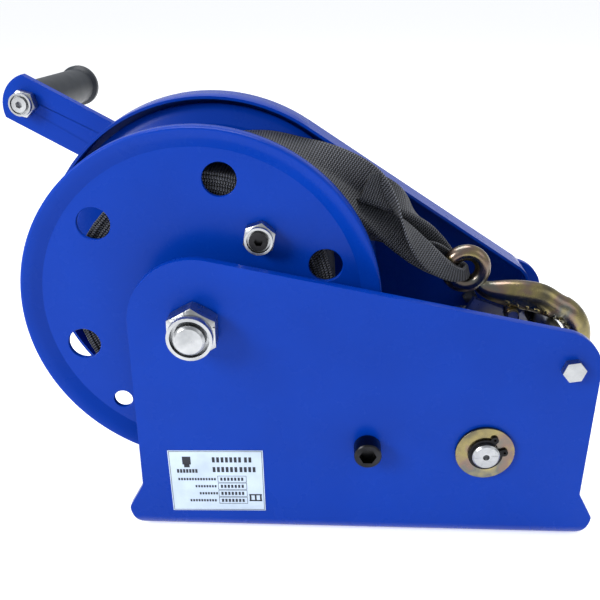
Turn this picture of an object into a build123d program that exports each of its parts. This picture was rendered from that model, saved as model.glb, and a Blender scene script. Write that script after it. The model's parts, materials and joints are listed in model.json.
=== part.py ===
from build123d import *
import math
import os

# Boat trailer winch, in millimetres.
# +X runs along the winch towards the hook, +Y from the labelled side plate to the crank side,
# +Z up. The origin is the centre of the four base bolts on the underside of the base.

# ---- frame -------------------------------------------------------------------------------
WIDTH = 127.0
PLATE = 6.0
OUTER = WIDTH / 2
INNER = OUTER - PLATE
BASE_HALF = 160.5
SIDE_HALF = 150.0
BEND_R = 10.0
TOP_SLOPE = -0.197
TOP_HEIGHT = 184.6
HUMP_R = 44.0
CORNER_R = 28.0
FLARE_BOTTOM, FLARE_TOP = 18.0, 37.0
BASE_CORNER_R = 18.0
FAR_SIDE_X = 140.0
FAR_CORNER_R = 24.0
BOLT_X = 220.0
BOLT_Y = 50.0
BOLT_R = 6.5

# ---- shaft positions, as (x, z) -----------------------------------------------------------
DRUM = (-107.0, 161.0)
LAY_ANGLE = -38.45
CRANK_ANGLE = -1.25
DRUM_MODULE, DRUM_TEETH, LAY_PINION_TEETH = 4.0, 54, 17
LAY_MODULE, LAY_TEETH, CRANK_PINION_TEETH = 3.0, 38, 14
DRUM_TO_LAY = DRUM_MODULE * (DRUM_TEETH + LAY_PINION_TEETH) / 2
LAY_TO_CRANK = LAY_MODULE * (LAY_TEETH + CRANK_PINION_TEETH) / 2


def polar(centre, radius, degrees):
    """The (x, z) point at a radius and an angle from a centre."""
    turn = math.radians(degrees)
    return centre[0] + radius * math.cos(turn), centre[1] + radius * math.sin(turn)


LAY = polar(DRUM, DRUM_TO_LAY, LAY_ANGLE)
CRANK = polar(LAY, LAY_TO_CRANK, CRANK_ANGLE)
TIE = (131.5, 134.5)

# ---- drum --------------------------------------------------------------------------------
FLANGE_R = 119.0
FLANGE_WEB_R = 106.0
FLANGE_T = 3.5
NEAR_WEB_Y = -34.0
FAR_WEB_Y = 37.0
NEAR_FLARE = 5.8
FAR_FLARE = 4.5
LIP = 10.8
HUB_R = 30.0
BUSH_R = 24.0
SLEEVE_R = 13.0
RUNNING = 0.05
WINDOW_CIRCLE_R = 87.0
WINDOW_R = 11.0
ROLL_R = 90.0
STRAP_WIDTH = 64.0
STRAP_Y = 3.25
ANCHOR_PLACE = (63.4, 51.2)
ANCHOR_R = 6.0
ANCHOR = polar(DRUM, *ANCHOR_PLACE)

# ---- stations along Y, near face first ------------------------------------------------------
LAY_GEAR_Y = (-55.5, -43.5)
CRANK_PINION_Y = (-56.2, -43.0)
PRESSURE_Y = (14.5, 22.0)
FRICTION_T = 3.0
RATCHET_Y = (25.3, 30.7)
SHAFT_FLANGE_Y = 34.0
DRUM_GEAR_Y = (48.0, 54.3)
LAY_PINION_Y = (47.4, 54.9)
GUARD_Y = (31.7, 57.5)
GUARD_WALL = 2.0
HOOK_Y = -3.5

# ---- crank: the arm's centre line passes a little above its hub ---------------------------
ARM_ANGLE = 152.8
ARM_LENGTH = 400.0
ARM_OFFSET = 14.3
ARM_LEAN = 4.0
ARM_WIDTH = 37.6
ARM_T = 8.0
ARM_HUB_Y = 92.0
GRIP_R = 15.3
GRIP_LENGTH = 112.0

# ---- holes shared by the frame, the guard and the bolts ------------------------------------
AXLE_R = 10.0
LAY_SCREW_R = 6.0
TIE_R = 4.0
HOLE_GAP = 0.2
NEAR_BUSH_R = 13.0
FAR_BUSH_R = 14.0
GUARD_SCREWS = [(86.0, 133.0), (112.0, 24.0), (30.0, 18.5), (-138.0, 22.0)]
GUARD_SCREW_R = 3.0

os.makedirs("parts", exist_ok=True)


# ---- helpers -----------------------------------------------------------------------------
def side(y, centre=(0.0, 0.0)):
    """A drawing plane facing the near side: local x is X, local y is Z, extrude(-t) goes to +Y."""
    return Plane(origin=(centre[0], y, centre[1]), x_dir=(1, 0, 0), z_dir=(0, -1, 0))


def far_side(y, centre):
    """The same, seen from the crank side, so extrude(t) goes to +Y."""
    return Plane(origin=(centre[0], y, centre[1]), x_dir=(1, 0, 0), z_dir=(0, 1, 0))


def shaft_plane(centre):
    """A plane through a shaft's axis, with local x the radius and local y the Y station."""
    return Plane(origin=(centre[0], 0, centre[1]), x_dir=(1, 0, 0), z_dir=(0, 0, 1))


def shaft_axis(centre):
    return Axis((centre[0], 0, centre[1]), (0, 1, 0))


def save(piece, label):
    piece.part.label = label
    export_step(piece.part, f"parts/{label}.step")


def ring(centre, outer, inner, start, end):
    """A plain tube, washer or bush about a shaft, as its own part."""
    with BuildPart() as tube:
        with BuildSketch(side(start, centre)):
            Circle(outer)
            Circle(inner, mode=Mode.SUBTRACT)
        extrude(amount=start - end)
    return tube


def turned(centre, steps, bore=0.0):
    """A turned shaft: steps are (radius, from, to) along Y."""
    with BuildPart() as shaft:
        with BuildSketch(shaft_plane(centre)):
            for radius, start, end in steps:
                with Locations(((radius + bore) / 2, (start + end) / 2)):
                    Rectangle(radius - bore, end - start)
        revolve(axis=shaft_axis(centre))
    return shaft


def hexagon(across_flats):
    """Corner radius of a hexagon with this width across its flats."""
    return across_flats / math.sqrt(3)


def lock_nut(seat, length, across_flats, thread, twist=0.0):
    """A nylon-insert nut standing out of its seat plane: a chamfered hexagon, then a round collar."""
    collar = 0.28 * length
    collar_r = 0.475 * across_flats
    insert_r = (thread + collar_r) / 2
    height = length - collar
    reach = hexagon(across_flats) + 0.1
    bevel = 0.16 * across_flats
    drop = 0.45 * bevel
    through_axis = Plane(
        origin=seat.origin, x_dir=seat.x_dir, z_dir=seat.x_dir.cross(seat.z_dir)
    )
    with BuildPart() as nut:
        with BuildSketch(seat):
            RegularPolygon(hexagon(across_flats), 6, rotation=twist)
        extrude(amount=height)
        with BuildSketch(through_axis):
            with BuildLine():
                Polyline(
                    (0, 0),
                    (reach - bevel, 0),
                    (reach, drop),
                    (reach, height - drop),
                    (reach - bevel, height),
                    (0, height),
                    close=True,
                )
            make_face()
        revolve(axis=Axis(seat.origin, seat.z_dir), mode=Mode.INTERSECT)
        with BuildSketch(seat.offset(height)):
            Circle(collar_r)
        extrude(amount=collar)
        with BuildSketch(seat.offset(height)):
            Circle(insert_r)
        extrude(amount=collar, mode=Mode.SUBTRACT)
        with BuildSketch(seat):
            Circle(thread)
        extrude(amount=length, mode=Mode.SUBTRACT)
    return nut


def involute(angle):
    return math.tan(angle) - angle


def gear_points(module, teeth, phase, backlash=0.4, addendum=0.85, dedendum=1.25):
    """Corner points of a 20 degree involute gear with one tooth centred on phase."""
    pitch_r = module * teeth / 2
    base_r = pitch_r * math.cos(math.radians(20))
    tip_r = pitch_r + addendum * module
    root_r = pitch_r - dedendum * module
    half_pitch = math.pi / 2 / teeth - backlash / 2 / pitch_r
    start_r = max(base_r, root_r)
    radii = [root_r] if base_r > root_r + 0.01 else []
    radii += [start_r + (tip_r - start_r) * step / 4 for step in range(5)]
    flank = []
    for radius in radii:
        pressure = math.acos(min(1.0, base_r / radius))
        half = half_pitch + involute(math.radians(20)) - involute(pressure)
        flank.append((radius, math.degrees(half)))
    points = []
    for tooth in range(teeth):
        middle = phase + 360 * tooth / teeth
        points += [polar((0, 0), radius, middle - half) for radius, half in flank]
        points += [polar((0, 0), radius, middle + half) for radius, half in reversed(flank)]
    return points


def gear(centre, stations, points, bore):
    """A spur gear between two stations, with its bore."""
    start, end = stations
    with BuildPart() as wheel:
        with BuildSketch(side(start, centre)):
            with BuildLine():
                Polyline(*points, close=True)
            make_face()
            Circle(bore, mode=Mode.SUBTRACT)
        extrude(amount=start - end)
    return wheel


# ---- frame: one bent plate, two sides and a base ----------------------------------------------
top_left = TOP_HEIGHT + TOP_SLOPE * -SIDE_HALF
top_right = TOP_HEIGHT + TOP_SLOPE * SIDE_HALF
SIDE_OUTLINE = [
    (-BASE_HALF, 0),
    (-BASE_HALF, FLARE_BOTTOM),
    (-SIDE_HALF, FLARE_TOP),
    (-SIDE_HALF, top_left),
    (SIDE_HALF, top_right),
    (SIDE_HALF, FLARE_TOP),
    (BASE_HALF, FLARE_BOTTOM),
    (BASE_HALF, 0),
]
BEND_LAND = 18.0
far_top = TOP_HEIGHT + TOP_SLOPE * FAR_SIDE_X
FAR_TRIM = [
    (100, TOP_HEIGHT + TOP_SLOPE * 100),
    (FAR_SIDE_X, far_top),
    (FAR_SIDE_X, 52),
    (SIDE_HALF, 42),
    (SIDE_HALF + 20, 42),
    (SIDE_HALF + 20, TOP_HEIGHT),
    (100, TOP_HEIGHT),
]


def corner_waste(y):
    """The sharp corners outside the base's rounded ends, drawn at a Y station."""
    with BuildSketch(side(y)) as waste:
        for end in (-1, 1):
            with Locations((end * (BASE_HALF - BASE_CORNER_R / 2), BASE_CORNER_R / 2)):
                Rectangle(BASE_CORNER_R, BASE_CORNER_R)
            with Locations((end * (BASE_HALF - BASE_CORNER_R), BASE_CORNER_R)):
                Circle(BASE_CORNER_R, mode=Mode.SUBTRACT)
    return waste.sketch


with BuildPart() as frame:
    with BuildSketch(Plane.YZ.offset(-BASE_HALF)) as channel:
        with Locations((0, 120)):
            Rectangle(WIDTH, 240)
        fillet(channel.vertices().group_by(Axis.Y)[0], BEND_R)
    extrude(amount=2 * BASE_HALF)
    with BuildSketch(Plane.YZ.offset(-BASE_HALF)) as inside:
        with Locations((0, PLATE + 120)):
            Rectangle(WIDTH - 2 * PLATE, 240)
        fillet(inside.vertices().group_by(Axis.Y)[0], BEND_R - PLATE)
    extrude(amount=2 * BASE_HALF, mode=Mode.SUBTRACT)
    with BuildSketch(side(-OUTER)) as outline:
        with BuildLine():
            Polyline(*SIDE_OUTLINE, close=True)
        make_face()
        fillet(outline.vertices().sort_by(Axis.Y)[-1], HUMP_R)
        fillet(outline.vertices().filter_by(lambda v: v.X > 100 and v.Y > 100), CORNER_R)
        fillet(outline.vertices().filter_by(lambda v: 10 < v.Y < 40), 6)
    extrude(amount=-WIDTH, mode=Mode.INTERSECT)
    with BuildSketch(side(INNER)) as far_trim:
        with BuildLine():
            Polyline(*FAR_TRIM, close=True)
        make_face()
        fillet(far_trim.vertices().sort_by_distance((FAR_SIDE_X, far_top, 0))[0], FAR_CORNER_R)
    extrude(amount=-PLATE, mode=Mode.SUBTRACT)
    extrude(corner_waste(-OUTER), amount=-BEND_LAND, mode=Mode.SUBTRACT)
    extrude(corner_waste(OUTER - BEND_LAND), amount=-BEND_LAND, mode=Mode.SUBTRACT)
    with BuildSketch(Plane.XY):
        with GridLocations(BOLT_X, BOLT_Y, 2, 2):
            Circle(BOLT_R)
    extrude(amount=PLATE, mode=Mode.SUBTRACT)
    with BuildSketch(side(-OUTER)):
        with Locations(DRUM):
            Circle(AXLE_R + HOLE_GAP)
        with Locations(LAY):
            Circle(LAY_SCREW_R + HOLE_GAP)
        with Locations(TIE):
            Circle(TIE_R + HOLE_GAP)
        with Locations(CRANK):
            Circle(NEAR_BUSH_R)
    extrude(amount=-PLATE, mode=Mode.SUBTRACT)
    with BuildSketch(side(INNER)):
        with Locations(DRUM):
            Circle(AXLE_R + HOLE_GAP)
        with Locations(LAY):
            Circle(LAY_SCREW_R + HOLE_GAP)
        with Locations(TIE):
            Circle(TIE_R + HOLE_GAP)
        with Locations(CRANK):
            Circle(FAR_BUSH_R)
        with Locations(*GUARD_SCREWS):
            Circle(GUARD_SCREW_R + HOLE_GAP)
    extrude(amount=-PLATE, mode=Mode.SUBTRACT)
save(frame, "frame")

# ---- gear guard: a pan bolted to the inside of the far plate ------------------------------------
GUARD_R = 125.5
GUARD_NORMAL = 57.0
GUARD_RIGHT = 125.0
GUARD_BOTTOM = 14.5
GUARD_CORNER_R = 20.0
tangent = polar(DRUM, GUARD_R, GUARD_NORMAL)
normal_x = math.cos(math.radians(GUARD_NORMAL))
normal_z = math.sin(math.radians(GUARD_NORMAL))
guard_corner_z = DRUM[1] + (GUARD_R - (GUARD_RIGHT - DRUM[0]) * normal_x) / normal_z
with BuildPart() as gear_guard:
    with BuildSketch(side(GUARD_Y[0])) as pan:
        with BuildLine():
            Polyline(
                DRUM,
                tangent,
                (GUARD_RIGHT, guard_corner_z),
                (GUARD_RIGHT, GUARD_BOTTOM),
                (-149.5, GUARD_BOTTOM),
                (-149.5, 64.0),
                close=True,
            )
        make_face()
        with Locations(DRUM):
            Circle(GUARD_R)
        corner = pan.vertices().filter_by(lambda v: v.X > 100 and v.Y > 100)
        fillet(corner, GUARD_CORNER_R)
    extrude(amount=GUARD_Y[0] - GUARD_Y[1])
    with BuildSketch(side(GUARD_Y[0])):
        add(offset(pan.sketch, -GUARD_WALL, mode=Mode.PRIVATE))
    extrude(amount=GUARD_Y[0] - GUARD_Y[1] + GUARD_WALL, mode=Mode.SUBTRACT)
    with BuildSketch(side(GUARD_Y[0] - 1)):
        with Locations((8, 12)):
            Rectangle(250, 24)
        with Locations((124, 56)):
            Rectangle(14, 114)
    extrude(amount=GUARD_Y[0] - 1 - GUARD_Y[1] + GUARD_WALL, mode=Mode.SUBTRACT)
    with BuildSketch(side(GUARD_Y[0])):
        with Locations(DRUM):
            Circle(AXLE_R + HOLE_GAP)
        with Locations(LAY):
            Circle(LAY_SCREW_R + HOLE_GAP)
        with Locations(CRANK):
            Circle(FAR_BUSH_R)
        with Locations(*GUARD_SCREWS):
            Circle(GUARD_SCREW_R + HOLE_GAP)
    extrude(amount=GUARD_Y[0] - GUARD_Y[1], mode=Mode.SUBTRACT)
save(gear_guard, "gear_guard")

with BuildPart() as guard_screws:
    for place in GUARD_SCREWS:
        with BuildSketch(side(INNER - GUARD_WALL - 4, place)):
            RegularPolygon(hexagon(10), 6)
        extrude(amount=-4)
        with BuildSketch(side(INNER - GUARD_WALL, place)):
            Circle(GUARD_SCREW_R)
        extrude(amount=-(PLATE + GUARD_WALL + 7))
save(guard_screws, "guard_screws")

with BuildPart() as guard_nuts:
    for place in GUARD_SCREWS:
        with BuildSketch(side(OUTER, place)):
            RegularPolygon(hexagon(10), 6)
            Circle(GUARD_SCREW_R, mode=Mode.SUBTRACT)
        extrude(amount=-5)
save(guard_nuts, "guard_nuts")

# ---- drum axle: a long bolt with a sleeve that the drum turns on ----------------------------------
with BuildPart() as drum_axle:
    with BuildSketch(side(OUTER + 3, DRUM)):
        RegularPolygon(hexagon(30), 6)
    extrude(amount=-12.5)
    with BuildSketch(side(-OUTER - 23.5, DRUM)):
        Circle(AXLE_R)
    extrude(amount=-(WIDTH + 26.5))
    chamfer(drum_axle.edges().filter_by(GeomType.CIRCLE).sort_by(Axis.Y)[0], 1.6)
save(drum_axle, "drum_axle")
save(lock_nut(side(-OUTER, DRUM), 21.0, 30, AXLE_R, twist=30), "axle_nut")
save(ring(DRUM, 18.5, AXLE_R, OUTER, OUTER + 3), "axle_washer")
save(ring(DRUM, SLEEVE_R, AXLE_R + HOLE_GAP, -INNER, INNER - GUARD_WALL), "axle_sleeve")

# ---- drum: hub tube, two pressed flanges, gear, bushes ---------------------------------------------
save(ring(DRUM, HUB_R, BUSH_R, -52.0, DRUM_GEAR_Y[1]), "drum_hub")

with BuildPart() as drum_bushes:
    for start, end in ((-57.0, -32.0), (32.0, 55.2)):
        with BuildSketch(side(start, DRUM)):
            Circle(BUSH_R)
            Circle(SLEEVE_R + RUNNING, mode=Mode.SUBTRACT)
        extrude(amount=start - end)
save(drum_bushes, "drum_bushes")


NEAR_RIM_Y = NEAR_WEB_Y - NEAR_FLARE
NEAR_PROFILE = [
    (HUB_R, NEAR_WEB_Y),
    (FLANGE_WEB_R, NEAR_WEB_Y),
    (FLANGE_R - 2.6, NEAR_RIM_Y),
    (FLANGE_R - 0.8, NEAR_RIM_Y - 0.1),
    (FLANGE_R, NEAR_RIM_Y + 1.2),
    (FLANGE_R, NEAR_RIM_Y + LIP),
    (FLANGE_R - 3.2, NEAR_RIM_Y + LIP),
    (FLANGE_R - 3.2, NEAR_RIM_Y + 3.6),
    (FLANGE_WEB_R - 0.6, NEAR_WEB_Y + FLANGE_T),
    (HUB_R, NEAR_WEB_Y + FLANGE_T),
]
FAR_PROFILE = [
    (HUB_R, FAR_WEB_Y),
    (FLANGE_WEB_R, FAR_WEB_Y),
    (FLANGE_R - 0.8, FAR_WEB_Y + FAR_FLARE),
    (FLANGE_R, FAR_WEB_Y + FAR_FLARE + 0.8),
    (FLANGE_R, FAR_WEB_Y + FAR_FLARE + FLANGE_T - 0.8),
    (FLANGE_R - 0.8, FAR_WEB_Y + FAR_FLARE + FLANGE_T),
    (FLANGE_WEB_R - 0.6, FAR_WEB_Y + FLANGE_T),
    (HUB_R, FAR_WEB_Y + FLANGE_T),
]


RIVETS = (38, 6)
RIVET_R = 4.0


def flange(profile, riveted):
    """A pressed drum flange turned from its profile, with its windows and bolt and rivet holes."""
    with BuildPart() as disc:
        with BuildSketch(shaft_plane(DRUM)):
            with BuildLine():
                Polyline(*profile, close=True)
            make_face()
        revolve(axis=shaft_axis(DRUM))
        with BuildSketch(side(profile[0][1] - LIP, DRUM)):
            with PolarLocations(WINDOW_CIRCLE_R, 6, start_angle=20):
                Circle(WINDOW_R)
            with Locations(polar((0, 0), 94, 231)):
                Circle(6.5)
            with Locations(polar((0, 0), *ANCHOR_PLACE)):
                Circle(ANCHOR_R)
            if riveted:
                with PolarLocations(*RIVETS):
                    Circle(RIVET_R)
        extrude(amount=-2 * LIP, mode=Mode.SUBTRACT)
    return disc


save(flange(NEAR_PROFILE, riveted=False), "near_flange")
save(flange(FAR_PROFILE, riveted=True), "far_flange")

with BuildPart() as drum_gear:
    with BuildSketch(side(DRUM_GEAR_Y[0], DRUM)):
        with BuildLine():
            Polyline(*gear_points(DRUM_MODULE, DRUM_TEETH, LAY_ANGLE), close=True)
        make_face()
        Circle(HUB_R, mode=Mode.SUBTRACT)
        with PolarLocations(76, 6, start_angle=30):
            Circle(17, mode=Mode.SUBTRACT)
    extrude(amount=DRUM_GEAR_Y[0] - DRUM_GEAR_Y[1])
    with BuildSketch(side(FAR_WEB_Y + FLANGE_T, DRUM)):
        Circle(48)
        Circle(HUB_R, mode=Mode.SUBTRACT)
    extrude(amount=FAR_WEB_Y + FLANGE_T - DRUM_GEAR_Y[0])
    with BuildSketch(side(FAR_WEB_Y + FLANGE_T, DRUM)):
        with PolarLocations(*RIVETS):
            Circle(RIVET_R)
    extrude(amount=-30, mode=Mode.SUBTRACT)
save(drum_gear, "drum_gear")

with BuildPart() as gear_rivets:
    with BuildSketch(side(FAR_WEB_Y, DRUM)):
        with PolarLocations(*RIVETS):
            Circle(RIVET_R)
    extrude(amount=FAR_WEB_Y - DRUM_GEAR_Y[1])
save(gear_rivets, "gear_rivets")

# ---- strap wound on the drum, and the bolt that holds its inner end ---------------------------------
with BuildPart() as strap_roll:
    with BuildSketch(side(STRAP_Y - STRAP_WIDTH / 2, DRUM)):
        Circle(ROLL_R)
        Circle(HUB_R, mode=Mode.SUBTRACT)
        with Locations(polar((0, 0), *ANCHOR_PLACE)):
            Circle(ANCHOR_R, mode=Mode.SUBTRACT)
    extrude(amount=-STRAP_WIDTH)
save(strap_roll, "strap_roll")

ANCHOR_END_Y = NEAR_WEB_Y - 12.4
ANCHOR_HEAD = 5.0
with BuildPart() as strap_anchor_bolt:
    with BuildSketch(side(FAR_WEB_Y + FLANGE_T, ANCHOR)):
        RegularPolygon(hexagon(17), 6)
    extrude(amount=-ANCHOR_HEAD)
    with BuildSketch(side(ANCHOR_END_Y, ANCHOR)):
        Circle(ANCHOR_R)
    extrude(amount=ANCHOR_END_Y - FAR_WEB_Y - FLANGE_T)
    with BuildSketch(side(ANCHOR_END_Y, ANCHOR)):
        RegularPolygon(hexagon(5), 6)
    extrude(amount=-4, mode=Mode.SUBTRACT)
save(strap_anchor_bolt, "strap_anchor_bolt")
save(lock_nut(side(NEAR_WEB_Y, ANCHOR), 12, 19, ANCHOR_R, twist=20), "strap_anchor_nut")

# ---- lay shaft: screw, fixed sleeve, and the turning tube with its two gears -------------------------
with BuildPart() as lay_screw:
    with BuildSketch(side(-OUTER - 12, LAY)):
        Circle(9.0)
    extrude(amount=-12)
    chamfer(lay_screw.edges().filter_by(GeomType.CIRCLE).sort_by(Axis.Y)[0], 0.8)
    with BuildSketch(side(-OUTER, LAY)):
        Circle(LAY_SCREW_R)
    extrude(amount=-(WIDTH + 17))
    with BuildSketch(side(-OUTER - 12, LAY)):
        RegularPolygon(hexagon(10), 6)
    extrude(amount=-6, mode=Mode.SUBTRACT)
save(lay_screw, "lay_screw")
save(ring(LAY, 12.0, LAY_SCREW_R, OUTER, OUTER + 2.5), "lay_washer")
save(lock_nut(far_side(OUTER + 2.5, LAY), 12, 19, LAY_SCREW_R), "lay_nut")
save(ring(LAY, 8.0, LAY_SCREW_R + HOLE_GAP, -INNER, INNER - GUARD_WALL), "lay_sleeve")
save(ring(LAY, 12.0, 8.0 + RUNNING, -57.0, 55.0), "lay_tube")
lay_gear = gear(
    LAY, LAY_GEAR_Y, gear_points(LAY_MODULE, LAY_TEETH, CRANK_ANGLE), 12.0
)
save(lay_gear, "lay_gear")
lay_pinion_phase = LAY_ANGLE + 180 + 180 / LAY_PINION_TEETH
lay_pinion = gear(
    LAY,
    LAY_PINION_Y,
    gear_points(DRUM_MODULE, LAY_PINION_TEETH, lay_pinion_phase),
    12.0,
)
save(lay_pinion, "lay_pinion")

# ---- crank shaft with its load brake ---------------------------------------------------------------
SHAFT_R = 9.0
COLLAR_R = 12.0
SHAFT_FAR_R = 10.0
SHAFT_END_Y = -71.0
CIRCLIP_Y = (-67.9, -66.3)
THREAD_R = 8.0
HUB_Y = (76.0, ARM_HUB_Y + 16.0)
blank = turned(
    CRANK,
    [
        (SHAFT_R, SHAFT_END_Y, CIRCLIP_Y[0]),
        (SHAFT_R - 1, CIRCLIP_Y[0], CIRCLIP_Y[1]),
        (SHAFT_R, CIRCLIP_Y[1], PRESSURE_Y[1]),
        (COLLAR_R, PRESSURE_Y[1], 54.0),
        (SHAFT_FAR_R, 54.0, HUB_Y[0]),
        (THREAD_R, HUB_Y[0], HUB_Y[1] + 20),
    ],
)
with BuildPart() as crank_shaft:
    add(blank.part)
    chamfer(crank_shaft.edges().filter_by(GeomType.CIRCLE).sort_by(Axis.Y)[0], 1.0)
    with BuildSketch(side(SHAFT_END_Y, CRANK)):
        Circle(2.2)
    extrude(amount=-4, mode=Mode.SUBTRACT)
save(crank_shaft, "crank_shaft")

crank_pinion_phase = CRANK_ANGLE + 180 + 180 / CRANK_PINION_TEETH
with BuildPart() as crank_pinion:
    with BuildSketch(side(CRANK_PINION_Y[0], CRANK)):
        with BuildLine():
            Polyline(
                *gear_points(LAY_MODULE, CRANK_PINION_TEETH, crank_pinion_phase),
                close=True,
            )
        make_face()
    extrude(amount=CRANK_PINION_Y[0] - CRANK_PINION_Y[1])
    with BuildSketch(side(CRANK_PINION_Y[1], CRANK)):
        Circle(13.0)
    extrude(amount=CRANK_PINION_Y[1] - PRESSURE_Y[0])
    with BuildSketch(side(CRANK_PINION_Y[0], CRANK)):
        Circle(SHAFT_R)
    extrude(amount=-90, mode=Mode.SUBTRACT)
save(crank_pinion, "crank_pinion")

BRAKE_R = 45.0
save(ring(CRANK, BRAKE_R, SHAFT_R, *PRESSURE_Y), "pressure_plate")
save(ring(CRANK, BRAKE_R, COLLAR_R, PRESSURE_Y[1], PRESSURE_Y[1] + FRICTION_T), "friction_disc_near")
save(ring(CRANK, BRAKE_R, COLLAR_R, SHAFT_FLANGE_Y - FRICTION_T, SHAFT_FLANGE_Y), "friction_disc_far")

shaft_flange = turned(
    CRANK,
    [(BRAKE_R, SHAFT_FLANGE_Y, 39.5), (58.0, 39.5, 44.5), (18.0, 44.5, 53.5)],
    bore=COLLAR_R,
)
save(shaft_flange, "shaft_flange")

RATCHET_R = 52.0
RATCHET_ROOT_R = 46.0
RATCHET_TEETH = 24
RATCHET_FACE = 97.9
with BuildPart() as ratchet_wheel:
    with BuildSketch(side(RATCHET_Y[0], CRANK)):
        teeth = []
        for tooth in range(RATCHET_TEETH):
            angle = RATCHET_FACE + 360 * tooth / RATCHET_TEETH
            teeth.append(polar((0, 0), RATCHET_ROOT_R, angle))
            teeth.append(polar((0, 0), RATCHET_R, angle))
        with BuildLine():
            Polyline(*teeth, close=True)
        make_face()
        Circle(COLLAR_R + RUNNING, mode=Mode.SUBTRACT)
    extrude(amount=RATCHET_Y[0] - RATCHET_Y[1])
save(ratchet_wheel, "ratchet_wheel")

save(ring(CRANK, 19.5, SHAFT_R, -66.3, -63.8), "shaft_washer")
EARS = (8.0, 65.0)
EAR_RADIUS = 12.2
with BuildPart() as circlip:
    with BuildSketch(side(CIRCLIP_Y[0], CRANK)):
        Circle(11.4)
        with BuildLine():
            Polyline(
                (0, 0),
                polar((0, 0), 20, EARS[0] + 12),
                polar((0, 0), 20, EARS[1] - 12),
                close=True,
            )
        make_face(mode=Mode.SUBTRACT)
        for ear in EARS:
            with Locations(polar((0, 0), EAR_RADIUS, ear)):
                Circle(2.6)
        Circle(SHAFT_R - 1, mode=Mode.SUBTRACT)
        for ear in EARS:
            with Locations(polar((0, 0), EAR_RADIUS + 0.4, ear)):
                Circle(0.9, mode=Mode.SUBTRACT)
    extrude(amount=CIRCLIP_Y[0] - CIRCLIP_Y[1])
save(circlip, "circlip")

with BuildPart() as shaft_bush_near:
    with BuildSketch(side(-OUTER, CRANK)):
        Circle(NEAR_BUSH_R)
    extrude(amount=-PLATE)
    with BuildSketch(side(-INNER, CRANK)):
        Circle(17)
    extrude(amount=-1.0)
    with BuildSketch(side(-OUTER, CRANK)):
        Circle(SHAFT_R + RUNNING)
    extrude(amount=-10, mode=Mode.SUBTRACT)
save(shaft_bush_near, "shaft_bush_near")
with BuildPart() as shaft_bush_far:
    with BuildSketch(side(INNER - GUARD_WALL, CRANK)):
        Circle(FAR_BUSH_R)
    extrude(amount=-(PLATE + GUARD_WALL))
    with BuildSketch(side(OUTER, CRANK)):
        Circle(19)
    extrude(amount=-2.5)
    with BuildSketch(side(INNER - GUARD_WALL, CRANK)):
        Circle(SHAFT_FAR_R + RUNNING)
    extrude(amount=-14, mode=Mode.SUBTRACT)
save(shaft_bush_far, "shaft_bush_far")
save(ring(CRANK, 14.0, SHAFT_FAR_R, OUTER + 3.0, HUB_Y[0]), "shaft_spacer")

# ---- pawl on the tie bolt ---------------------------------------------------------------------------
PAWL_BOSS_R = 9.0
with BuildPart() as pawl:
    with BuildSketch(side(RATCHET_Y[0])):
        with BuildLine():
            Polyline(
                polar(CRANK, 47.4, 97),
                polar(CRANK, 56.0, 97),
                (84.0, 142.8),
                (112.8, 132.8),
                (118.0, 131.5),
                (128.5, 142.9),
                (136.0, 126.7),
                (120.5, 122.0),
                polar(CRANK, 55.0, 70),
                polar(CRANK, 54.5, 88),
                polar(CRANK, 50.3, 90),
                close=True,
            )
        make_face()
        with Locations(TIE):
            Circle(PAWL_BOSS_R)
            Circle(TIE_R + RUNNING, mode=Mode.SUBTRACT)
    extrude(amount=RATCHET_Y[0] - RATCHET_Y[1])
save(pawl, "pawl")

with BuildPart() as tie_bolt:
    with BuildSketch(side(-OUTER - 5.3, TIE)):
        RegularPolygon(hexagon(13), 6, rotation=10)
    extrude(amount=-5.3)
    with BuildSketch(side(-OUTER, TIE)):
        Circle(TIE_R)
    extrude(amount=-(WIDTH + 10))
save(tie_bolt, "tie_bolt")
save(lock_nut(far_side(OUTER, TIE), 8, 13, TIE_R), "tie_nut")
SPACER_R = 7.5
TIE_BORE = TIE_R + HOLE_GAP
PAWL_PLAY = 0.3
save(ring(TIE, SPACER_R, TIE_BORE, -INNER, RATCHET_Y[0] - PAWL_PLAY), "tie_spacer_near")
save(ring(TIE, 5.9, TIE_BORE, RATCHET_Y[1] + PAWL_PLAY, INNER), "tie_spacer_far")

COIL_R = 9.3
WIRE_R = 0.9
with BuildPart() as pawl_spring:
    with BuildLine() as coil:
        Helix(2.3, 13.8, COIL_R, center=(TIE[0], 10.0, TIE[1]), direction=(0, 1, 0))
    with BuildSketch(Plane(origin=coil.line @ 0, z_dir=coil.line % 0)):
        Circle(WIRE_R)
    sweep(is_frenet=True)
save(pawl_spring, "pawl_spring")

# ---- crank: hub, flat arm and turning grip ------------------------------------------------------------
arm_turn = math.radians(ARM_ANGLE)
lean = math.radians(ARM_LEAN)
ARM_DIR = Vector(
    math.cos(arm_turn) * math.cos(lean), math.sin(lean), math.sin(arm_turn) * math.cos(lean)
)
ARM_OUT = Vector(
    -math.cos(arm_turn) * math.sin(lean), math.cos(lean), -math.sin(arm_turn) * math.sin(lean)
)
ARM_UP = ARM_OUT.cross(ARM_DIR)
ARM_ROOT = Vector(CRANK[0], ARM_HUB_Y, CRANK[1])
ARM_END = ARM_ROOT + ARM_DIR * ARM_LENGTH + ARM_UP * ARM_OFFSET


def arm_plane(centre, out):
    """A plane square to the leaning arm through a centre, out from the arm's near face."""
    return Plane(origin=centre + ARM_OUT * out, x_dir=ARM_DIR, z_dir=ARM_OUT)


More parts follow.
